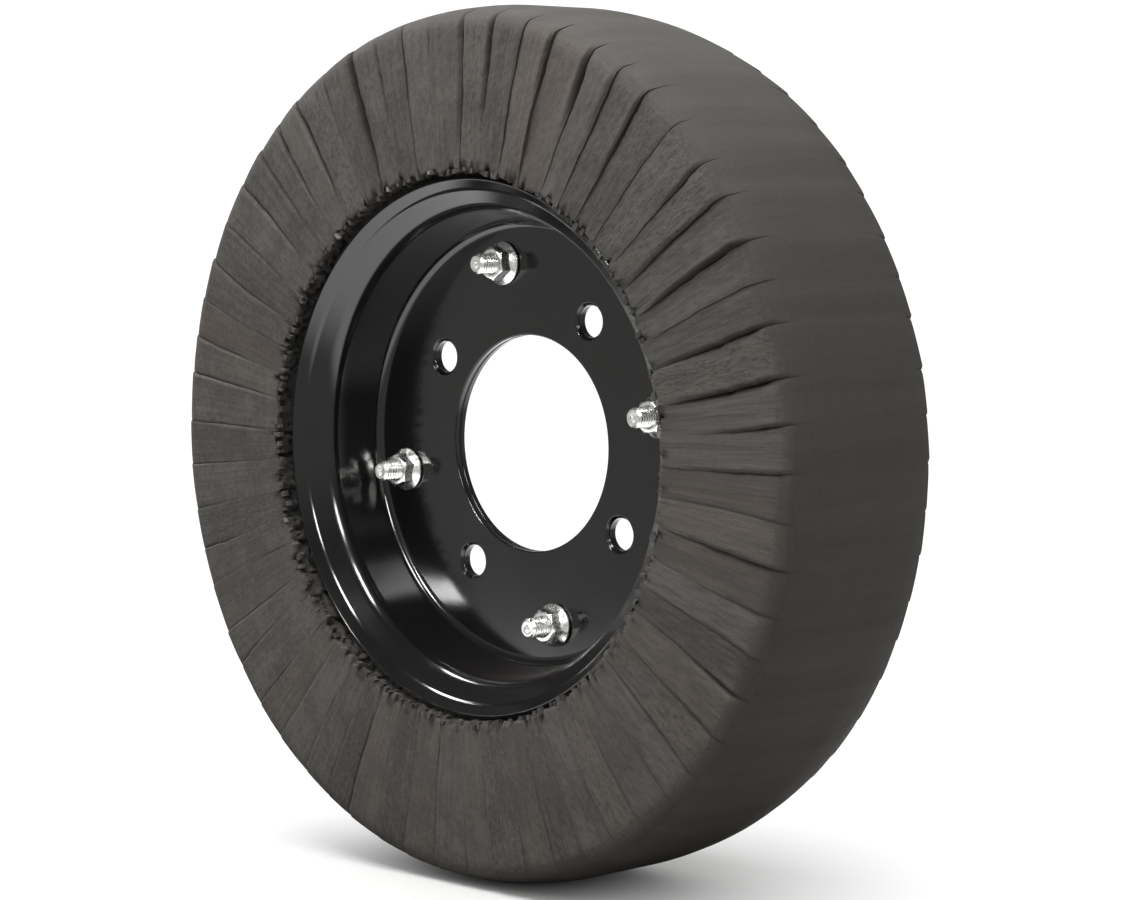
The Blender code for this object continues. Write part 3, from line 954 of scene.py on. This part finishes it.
def view_axes(azimuth, elevation):
    """Right, up and back of a camera that looks at the wheel, turned from the -Y side towards +X."""
    back = Vector(
        (
            math.sin(azimuth) * math.cos(elevation),
            -math.cos(azimuth) * math.cos(elevation),
            math.sin(elevation),
        )
    )
    right = Vector((math.cos(azimuth), math.sin(azimuth), 0.0))
    return right, back.cross(right), back


def add_camera():
    right, up, back = view_axes(AZIMUTH, ELEVATION)
    camera = bpy.data.objects.new("camera", bpy.data.cameras.new("camera"))
    camera.data.lens = LENS_MM
    camera.data.sensor_width = 36.0
    turned = Matrix((right, up, back)).transposed().to_4x4()
    place = right * SHIFT_RIGHT + up * SHIFT_UP + back * DISTANCE
    camera.matrix_world = Matrix.Translation(place) @ turned
    bpy.context.scene.collection.objects.link(camera)
    bpy.context.scene.camera = camera


def add_light(name, azimuth, elevation, distance, width, height, roll, power, lights_rubber, shows):
    """A softbox that faces the wheel from a direction, in degrees: its azimuth runs from +X towards +Y."""
    azimuth, elevation = math.radians(azimuth), math.radians(elevation)
    direction = Vector(
        (
            math.cos(azimuth) * math.cos(elevation),
            math.sin(azimuth) * math.cos(elevation),
            math.sin(elevation),
        )
    )
    light = bpy.data.lights.new(name, "AREA")
    light.shape = "RECTANGLE"
    light.size, light.size_y = width, height
    light.energy = power
    obj = bpy.data.objects.new(name, light)
    obj.location = direction * distance
    facing = direction.to_track_quat("Z", "Y") @ Quaternion((0.0, 0.0, 1.0), math.radians(roll))
    obj.rotation_euler = facing.to_euler()
    obj.visible_diffuse = lights_rubber
    obj.visible_glossy = shows
    bpy.context.scene.collection.objects.link(obj)


def length_of(paint, vector):
    node = paint.add("ShaderNodeVectorMath", operation="LENGTH")
    paint.feed(node.inputs[0], vector)
    return node.outputs["Value"]


def light_of(paint, strength):
    node = paint.add("ShaderNodeEmission")
    paint.feed(node.inputs["Strength"], strength)
    return node.outputs[0]


def shader_mix(paint, factor, first, second):
    node = paint.add("ShaderNodeMixShader")
    paint.feed(node.inputs["Fac"], factor)
    paint.feed(node.inputs[1], first)
    paint.feed(node.inputs[2], second)
    return node.outputs[0]


def floor_material():
    """A pale table top: shaded near the wheel, white further away, and bright in the rim's enamel.

    It throws little light up at the wheel. In the enamel it glows, which is painted light: bright inside
    an oval on the -X side, as dim as the room beyond it, and black, a painted shadow, in the strip under
    the tread.
    """
    paint = Paint("floor")
    path = paint.add("ShaderNodeLightPath")
    dust = paint.noise(paint.places, 3.0, 4.0, 0.6)
    lit = paint.mix(dust, (0.80, 0.80, 0.795), (0.86, 0.86, 0.86))
    color = paint.mix(path.outputs["Is Camera Ray"], (0.28, 0.28, 0.278), lit)
    paint.set(Base_Color=color, Roughness=0.9)
    distance = length_of(paint, paint.stretched(paint.places, (1.0, 1.0, 0.0)))
    white = paint.ranged(distance, SHADE_START, SHADE_END)
    white = paint.math("MULTIPLY", white, path.outputs["Is Camera Ray"])
    oval = paint.stretched(paint.places, (1.0, OVAL_SQUEEZE, 0.0))
    oval = length_of(paint, paint.shifted(oval, (OVAL_SHIFT, 0.0, 0.0)))
    # Painted light: to glossy rays the floor glows, brightest inside the oval
    sheen = paint.ranged(oval, OVAL_START, OVAL_END, FLOOR_SHEEN, ROOM_SHEEN)
    aside = length_of(paint, paint.stretched(paint.places, (0.0, 1.0, 0.0)))
    # Painted shadow: the glow drops to black in the strip under the tread
    sheen = paint.math("MULTIPLY", sheen, paint.ranged(aside, TREAD_SHADOW_START, TREAD_SHADOW_END))
    seen = shader_mix(paint, white, paint.shader.outputs[0], light_of(paint, WHITE))
    whole = shader_mix(paint, path.outputs["Is Glossy Ray"], seen, light_of(paint, sheen))
    paint.feed(paint.tree.nodes["Material Output"].inputs["Surface"], whole)
    return paint.material


def add_floor():
    bm = bmesh.new()
    level = Matrix.Translation((0.0, 0.0, -TYRE_RADIUS - 0.4 * MM))
    bmesh.ops.create_circle(bm, cap_ends=True, segments=128, radius=FLOOR_RADIUS, matrix=level)
    mesh = bpy.data.meshes.new("floor")
    bm.to_mesh(mesh)
    bm.free()
    mesh.materials.append(floor_material())
    floor = bpy.data.objects.new("floor", mesh)
    bpy.context.scene.collection.objects.link(floor)


def tree_range(tree, value, limits):
    """A clamped range: its limits are sockets or numbers for From Min, From Max, To Min and To Max."""
    node = tree.nodes.new("ShaderNodeMapRange")
    tree.links.new(value, node.inputs["Value"])
    for key, limit in zip(("From Min", "From Max", "To Min", "To Max"), limits):
        if isinstance(limit, bpy.types.NodeSocket):
            tree.links.new(limit, node.inputs[key])
        else:
            node.inputs[key].default_value = limit
    return node.outputs["Result"]


def set_world():
    """A white studio to the camera, a dim room to what it lights, and darker higher up in reflections."""
    world = bpy.data.worlds.new("studio")
    bpy.context.scene.world = world
    world.use_nodes = True
    tree = world.node_tree
    tree.nodes.clear()
    path = tree.nodes.new("ShaderNodeLightPath")
    places = tree.nodes.new("ShaderNodeTexCoord")
    parts = tree.nodes.new("ShaderNodeSeparateXYZ")
    tree.links.new(places.outputs["Generated"], parts.inputs[0])
    sheen = tree_range(tree, parts.outputs["Z"], (HIGH_START, HIGH_END, ROOM_SHEEN, HIGH_SHEEN))
    strength = tree_range(tree, path.outputs["Is Glossy Ray"], (0.0, 1.0, ROOM_LIGHT, sheen))
    room = tree.nodes.new("ShaderNodeBackground")
    room.inputs["Color"].default_value = (1.0, 0.985, 0.96, 1.0)
    tree.links.new(strength, room.inputs["Strength"])
    seen = tree.nodes.new("ShaderNodeBackground")
    seen.inputs["Color"].default_value = (1.0, 1.0, 1.0, 1.0)
    seen.inputs["Strength"].default_value = WHITE
    mix = tree.nodes.new("ShaderNodeMixShader")
    tree.links.new(path.outputs["Is Camera Ray"], mix.inputs["Fac"])
    tree.links.new(room.outputs[0], mix.inputs[1])
    tree.links.new(seen.outputs[0], mix.inputs[2])
    out = tree.nodes.new("ShaderNodeOutputWorld")
    tree.links.new(mix.outputs[0], out.inputs["Surface"])


def add_stage():
    bpy.context.scene.view_settings.view_transform = "Standard"
    add_floor()
    set_world()
    for light in LIGHTS:
        add_light(*light)
    add_camera()


# --- the wheel ---------------------------------------------------------------------------------

add_rim(rim_material())
add_tyre(rubber_material())
add_cord_ends(cord_material())
add_fasteners(zinc_material())
steel = rod_material()
for hoop_side in SIDES:
    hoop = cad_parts[f"tyre_hoop_{hoop_side}"]
    hoop.data.materials.clear()
    hoop.data.materials.append(steel)
add_stage()
